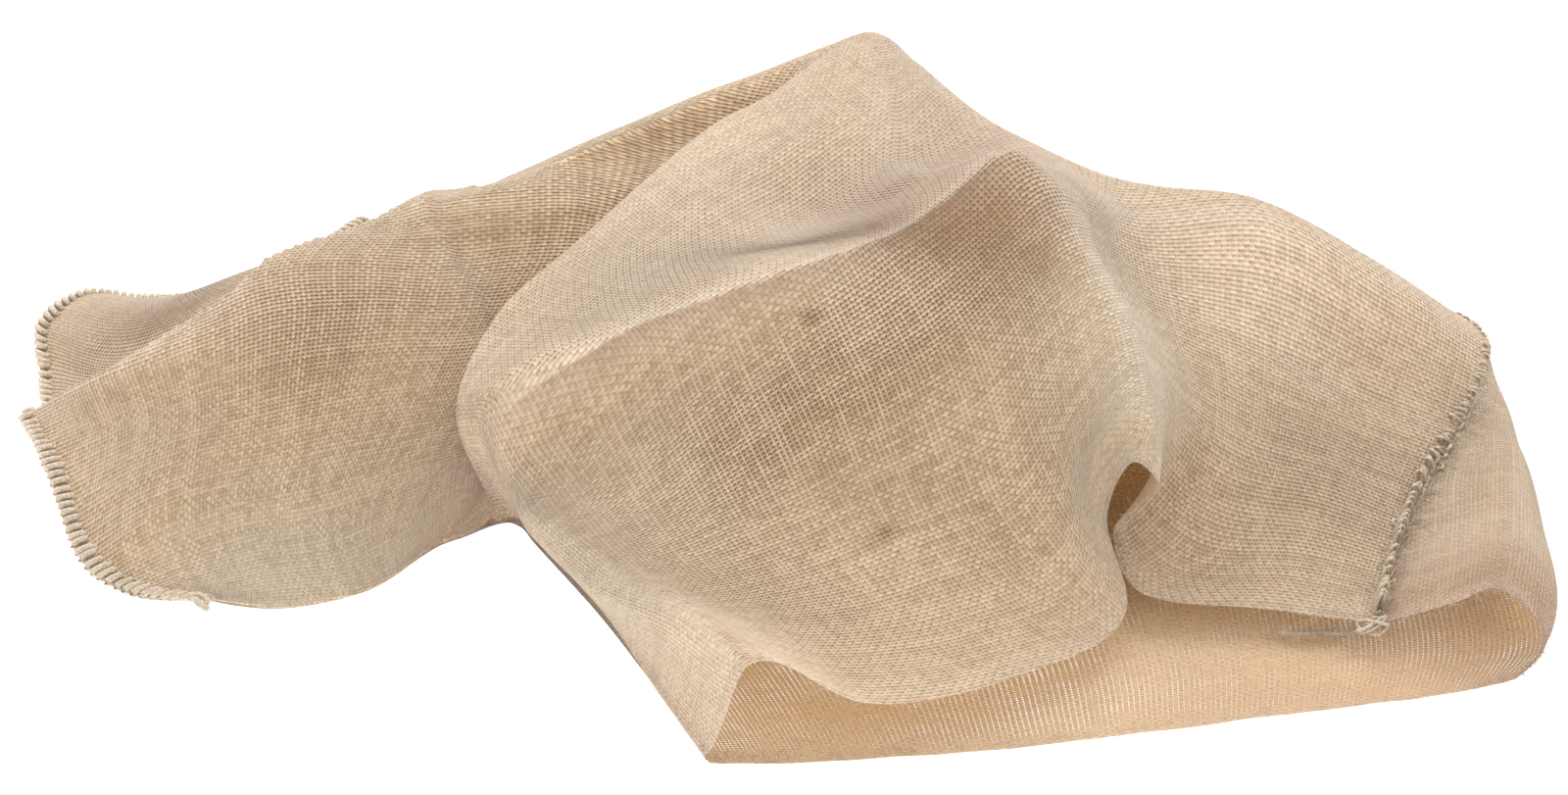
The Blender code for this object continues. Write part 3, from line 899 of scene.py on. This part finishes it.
def resample(line, step):
    """The same line with points a step apart."""
    line = np.asarray(line, float)
    reach = reach_of(line)
    return values_at(line, reach, np.arange(0, reach[-1], step))


print("a yarn has 6 sides and a hair has 3")

# %% The spiral of an overcast seam
TURN_POINTS = 10  # points in one turn of the yarn
OUTSIDE = 0.2  # how far the wraps stand out beyond the edge, in mm
WIDTH_SHARES = (0, 0.6, 0.8, 1)  # shares of the seam's length at which a width is given


def overcast(edge, inward, pitch, widths, tall, unevenness, slant):
    """The spiral of yarn round an edge. inward is the direction into the cloth at each point."""
    step = pitch / TURN_POINTS
    edge_line = resample(edge, step)
    reach = reach_of(edge)
    goals = np.arange(0, reach[-1], step)[:len(edge_line)]
    inner = unit(values_at(inward, reach, goals))
    ahead = unit(np.gradient(edge_line, axis=0))
    upright = np.cross(inner, ahead)
    upright[upright[:, 2] < 0] *= -1
    upright = unit(upright)
    angle = np.arange(len(edge_line)) / TURN_POINTS * 2 * math.pi
    rng = np.random.default_rng(4)
    turns = np.arange(0, goals[-1] + pitch, pitch)
    uneven, shift = (np.interp(goals, turns, unevenness * rng.standard_normal(len(turns)))
                     for _ in range(2))
    half = np.interp(goals / goals[-1], WIDTH_SHARES, widths) / 2
    in_and_out = half - OUTSIDE + half * np.cos(angle) * (1 + uneven)
    back_and_forth = slant * np.cos(angle) + shift * pitch
    up_and_down = tall / 2 * np.sin(angle) * (1 + 0.7 * uneven)
    return (edge_line + inner * in_and_out[:, None] + ahead * back_and_forth[:, None]
            + upright * up_and_down[:, None])


print("one turn of the yarn has", TURN_POINTS, "points")


# %% Knots and loops
def tangle(middle, reach, turns, points=26):
    """A knot of yarn: a line that loops round a point on three uneven swings."""
    t = np.linspace(0, 2 * math.pi * turns, int(points * turns))
    swing = np.stack([np.sin(t), np.sin(1.37 * t + 0.8), 0.6 * np.sin(0.83 * t + 2)], 1)
    return np.asarray(middle) + swing * reach


def loops(base_line, outward, count, height, seed):
    """Small loops of yarn that stand out from a line at random."""
    rng = np.random.default_rng(seed)
    made = []
    for at in rng.integers(2, len(base_line) - 2, count):
        side = rng.standard_normal(3) * 0.6 + outward
        side, run = unit(np.array([side, base_line[at + 1] - base_line[at - 1]]))
        t = np.linspace(0, math.pi, 8)[:, None]
        rise = side * np.sin(t) * height * rng.uniform(0.5, 1.2)
        made.append(base_line[at] + rise + 2 * run * np.cos(t) * rng.uniform(0.6, 1.6))
    return made


# %% The yarn's material
DARK_STRAND = (0.36, 0.285, 0.205)
PALE_STRAND = (0.68, 0.57, 0.445)
STRAND_SCALE = 900  # strands per metre


def yarn_material():
    yarn = Nodes("jute_yarn")
    place = yarn.add("ShaderNodeTexCoord", {}, {}, output=3)
    strands = yarn.add("ShaderNodeTexNoise", {}, {
        "Vector": place, "Scale": STRAND_SCALE, "Detail": 3.0, "Roughness": 0.7})
    colour = yarn.blend(yarn.ramp(strands, 0.3, 0.7), DARK_STRAND, PALE_STRAND)
    bump = yarn.add("ShaderNodeBump", {}, {"Strength": 0.8, "Distance": 0.0006, "Height": strands})
    yarn.feed(yarn.shader, {
        "Base Color": colour, "Normal": bump, "Roughness": 0.95, "Specular IOR Level": 0.1,
        "Sheen Weight": 0.4, "Sheen Tint": (1, 0.95, 0.92, 1)})
    return yarn.material


yarn_paint = yarn_material()
print("the yarn's material has", len(yarn_paint.node_tree.nodes), "nodes")

# %% Sew the bottom
BOTTOM_WRAPS = {"pitch": 4.8, "widths": (8.5, 8.5, 8, 7), "tall": 3.6, "unevenness": 0.12, "slant": 2.2}
BOTTOM_RADIUS = 1.7  # of the yarn
BOTTOM_LOOP = ((-4, 0, 2), (2, -3, 4), (6, -7, 3), (3, -9, 2), (-1, -5, 4), (4, -10, 2), (7, -12, 1.8))


def line_at(place, offsets, steps, step):
    """A smooth line through points that are given from a place on the seam."""
    return resample(curve_through([place + offset for offset in offsets], steps), step)


def add_yarn(name, lines, radius, *replaced, sides=6):
    """A piece of yarn or hair along some lines."""
    mesh = tube_mesh(name, lines, radius, sides)
    mesh.materials.append(yarn_paint)
    print(name, "has", len(lines), "lines with", len(mesh.polygons), "faces")
    return add_piece(name, mesh, "jute_yarn", *replaced)


bottom_edge = (sheet_grid[0, :HALF_COLUMNS] + sheet_grid[0, ::-1][:HALF_COLUMNS]) / 2
bottom_inward = sheet_grid[6, :HALF_COLUMNS] - sheet_grid[0, :HALF_COLUMNS]
bottom_lines = [overcast(bottom_edge[:-1], bottom_inward[:-1], **BOTTOM_WRAPS),
                line_at(bottom_edge[-2], BOTTOM_LOOP, 6, 1.2)]
add_yarn("bottom_yarn", bottom_lines, BOTTOM_RADIUS, "bottom_overcast")

# %% Sew the side
SEAM_FROM = 6  # the seam's first row
SIDE_WRAPS = {"pitch": 4.6, "widths": (6, 4, 5, 13), "tall": 3.2, "unevenness": 0.5, "slant": 0.8}
SIDE_RADIUS = 0.85  # of the yarn
SIDE_LOOPS = 44
side_edge = (sheet_grid[SEAM_FROM:, 0] + sheet_grid[SEAM_FROM:, -1]) / 2
side_inward = (sheet_grid[SEAM_FROM:, 5] + sheet_grid[SEAM_FROM:, -6]) / 2 - side_edge
mouth_end = side_edge[-1]
seam_line = resample(side_edge, 2.0)
ragged_from = len(seam_line) * 8 // 10
side_lines = [overcast(side_edge, side_inward, **SIDE_WRAPS)]
side_lines += loops(seam_line[ragged_from:], np.array([0.3, -0.5, 0.8]), SIDE_LOOPS, 5, 2)
side_lines.append(tangle(mouth_end + (-1, -3, 1), reach=(7, 3.5, 5), turns=3.2))
add_yarn("side_yarn", side_lines, SIDE_RADIUS, "side_overcast")

# %% The frayed tail of the side seam
TAIL_POINTS = ((-4, 1, -4), (-14, 3, -8), (-26, 5, -9), (-38, 4, -9.5), (-47, 6, -9))
TAIL_RADIUS = 1.3
TAIL_LOWEST = 2.2  # its least height, in mm
tail_line = line_at(mouth_end, TAIL_POINTS, 8, 1.5)
tail_line[:, 2] = np.maximum(tail_line[:, 2], TAIL_LOWEST)
tail_piece = add_yarn("seam_tail", [tail_line], TAIL_RADIUS)

# %% [markdown]
# ## Stray hair
# Jute is hairy: every edge and every slanting surface carries a short fuzz that softens it. Each
# hair is a very thin tube that starts in the cloth and bends over. Most are put where they show,
# along the mouth and the seams; the rest are spread over the sheet.

# %% How a hair grows
HAIR_RADIUS = 0.09  # in mm
HAIR_LOWEST = 0.6  # its least height, in mm


def hair_lines(roots, outward, length, lean, seed):
    """One bent line for each root; lean is how far hairs lie over, from 0 to 1."""
    rng = np.random.default_rng(seed)
    count = len(roots)
    away = unit(np.multiply(outward, 1 - lean) + rng.standard_normal((count, 3)) * (0.25 + lean))
    bend = rng.standard_normal((count, 3)) * 0.7
    reach = length * rng.uniform(0.4, 1.3, (count, 1))
    t = np.linspace(0, 1, 5)[None, :, None]
    lines = roots[:, None] + reach[:, None] * (t * away[:, None] + t ** 2 * bend[:, None])
    lines[..., 2] = np.maximum(lines[..., 2], HAIR_LOWEST)
    return list(lines)


def on_sheet(count, rows, columns, seed):
    """Random points on part of the sheet, with its facing direction there."""
    rng = np.random.default_rng(seed)
    i = rng.integers(rows[0], rows[1], count)
    j = rng.integers(columns[0], columns[1], count)
    along = rng.uniform(0, 1, (count, 1))
    nearby = sheet_grid[np.minimum(i + 1, ROWS - 1), np.minimum(j + 1, COLUMNS - 1)]
    return sheet_grid[i, j] * (1 - along) + nearby * along, facing[i, j]


print("a hair is", 2 * HAIR_RADIUS, "mm thick")

# %% Hair on the sheet and at the mouth
SHEET_HAIRS = 1500
# Columns of the mouth's edge, how many hairs, and their length in mm.
MOUTH_HAIR = (((0, 44), 180, 4), ((44, 90), 150, 1.4), ((90, COLUMNS), 1000, 4.5))
hairs = []
for columns, count, length in MOUTH_HAIR:
    roots, _ = on_sheet(count, (ROWS - 4, ROWS - 1), columns, 11)
    hairs += hair_lines(roots, (0, -0.8, 0.25), length, 0.45, 21)
roots, out = on_sheet(SHEET_HAIRS, (10, ROWS - 12), (0, HALF_COLUMNS), 12)
hairs += hair_lines(roots, out, 3.6, 0.6, 22)
print("the sheet has", len(hairs), "hairs")

# %% Hair and fringe at the seams
FRINGE_RADIUS = 0.2
# The line, its first and last root, how many hairs, their direction, length, lean and seed.
SEAM_HAIR = ((seam_line, len(seam_line) * 7 // 10, len(seam_line), 800, (0.45, -0.25, 0.6), 6, 0.4, 23),
             (bottom_edge, 0, HALF_COLUMNS - 8, 350, (-0.6, -0.2, 0.4), 4, 0.5, 24),
             (tail_line, 0, len(tail_line), 260, (-0.5, 0, 0.3), 7, 0.5, 25))
FRINGE = (seam_line, ragged_from, len(seam_line), 380, (0.5, -0.3, 0.5), 8.5, 0.35, 26)
rng = np.random.default_rng(13)


def grow(line, first, last, count, *shape):
    """Hairs at random places on a line."""
    return hair_lines(line[rng.integers(first, last, count)], *shape)


for row in SEAM_HAIR:
    hairs += grow(*row)
add_yarn("seam_fringe", grow(*FRINGE), FRINGE_RADIUS, sides=3)
add_yarn("stray_hair", hairs, HAIR_RADIUS, sides=3)
